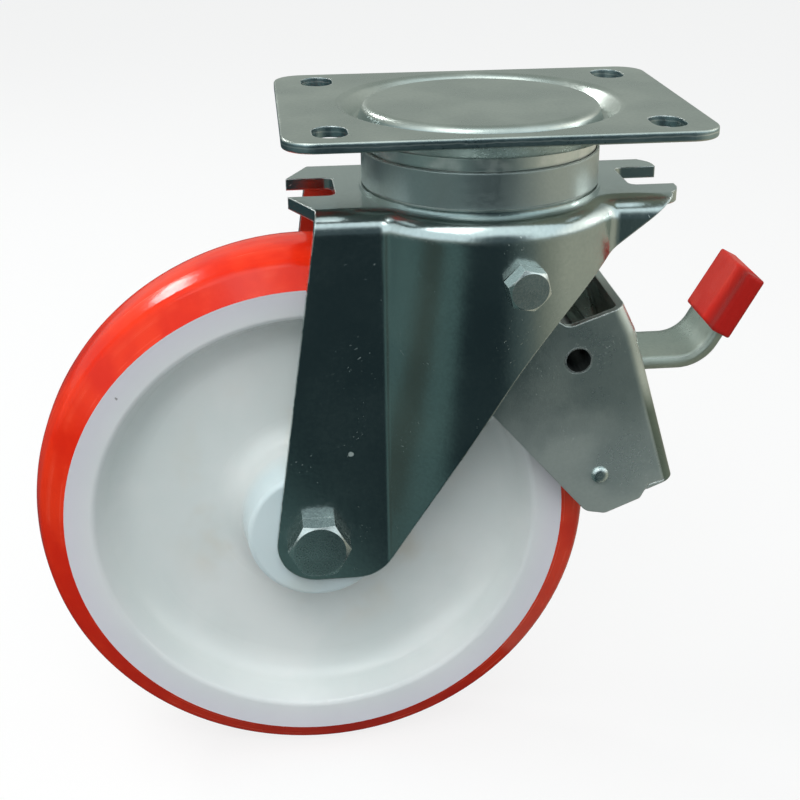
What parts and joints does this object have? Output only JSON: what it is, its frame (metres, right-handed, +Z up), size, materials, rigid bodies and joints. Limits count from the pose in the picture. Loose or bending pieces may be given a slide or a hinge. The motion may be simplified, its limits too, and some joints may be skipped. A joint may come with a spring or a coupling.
{
  "type": "swivel castor",
  "caption": "Swivel castor: ball-race head, pressed fork and a broad wheel with a bonded elastic tread, stopped by a foot pedal that presses a shoe on the tread.",
  "frame": {"origin": "where the swivel axis meets the top face of the mounting plate", "axes": "+Z up along the swivel axis, +X from the wheel towards the brake pedal, +Y along the wheel's axle towards its nut"},
  "size_m": [0.2587, 0.1068, 0.245],
  "materials": {
    "plated_steel": "zinc-plated pressed steel, satin, greenish grey",
    "fastener_steel": "zinc-plated, satin",
    "bearing_steel": "polished, hardened",
    "cage_plastic": "matt",
    "wheel_plastic": "cast nylon, white, half gloss",
    "tread_rubber": "elastic tread, red, glossy",
    "cap_plastic": "moulded, red, half gloss"
  },
  "bodies": {
    "plate": {"top_plate": "plated_steel", "upper_race": "plated_steel", "king_pin": "fastener_steel", "lower_race": "plated_steel", "king_pin_washer": "fastener_steel", "king_pin_nut": "fastener_steel"},
    "fork": {"fork": "plated_steel", "dust_ring": "plated_steel", "crown_race": "plated_steel", "upper_balls": "bearing_steel", "lower_balls": "bearing_steel", "axle_bolt": "fastener_steel", "axle_nut": "fastener_steel", "axle_sleeve": "fastener_steel", "brake_housing": "plated_steel", "brake_bolts": "fastener_steel", "brake_nuts": "fastener_steel", "pedal_sleeve": "fastener_steel", "shoe_rivets": "fastener_steel"},
    "wheel": {"wheel_centre": "wheel_plastic", "tread": "tread_rubber", "roller_cage": "cage_plastic", "hub_rollers": "bearing_steel"},
    "pedal": {"pedal": "plated_steel", "pedal_cap": "cap_plastic"},
    "shoe": {"brake_shoe": "plated_steel"}
  },
  "joints": [
    {"name": "swivel", "type": "hinge", "parent": "plate", "child": "fork", "pos_m": [0, 0, 0], "axis": [0, 0, 1], "continuous": true},
    {"name": "wheel_spin", "type": "hinge", "parent": "fork", "child": "wheel", "pos_m": [-0.06, 0, -0.145], "axis": [0, 1, 0], "continuous": true},
    {"name": "brake_pedal", "type": "hinge", "parent": "fork", "child": "pedal", "pos_m": [0.0293, 0, -0.0811], "axis": [0, 1, 0], "range_deg": [0, 20]},
    {"name": "brake_shoe_hinge", "type": "hinge", "parent": "fork", "child": "shoe", "pos_m": [0.0389, 0, -0.1249], "axis": [0, -1, 0], "range_deg": [0, 8]}
  ],
  "couplings": [
    {"joint": "brake_shoe_hinge", "follows": "brake_pedal", "ratio": 0.4}
  ]
}
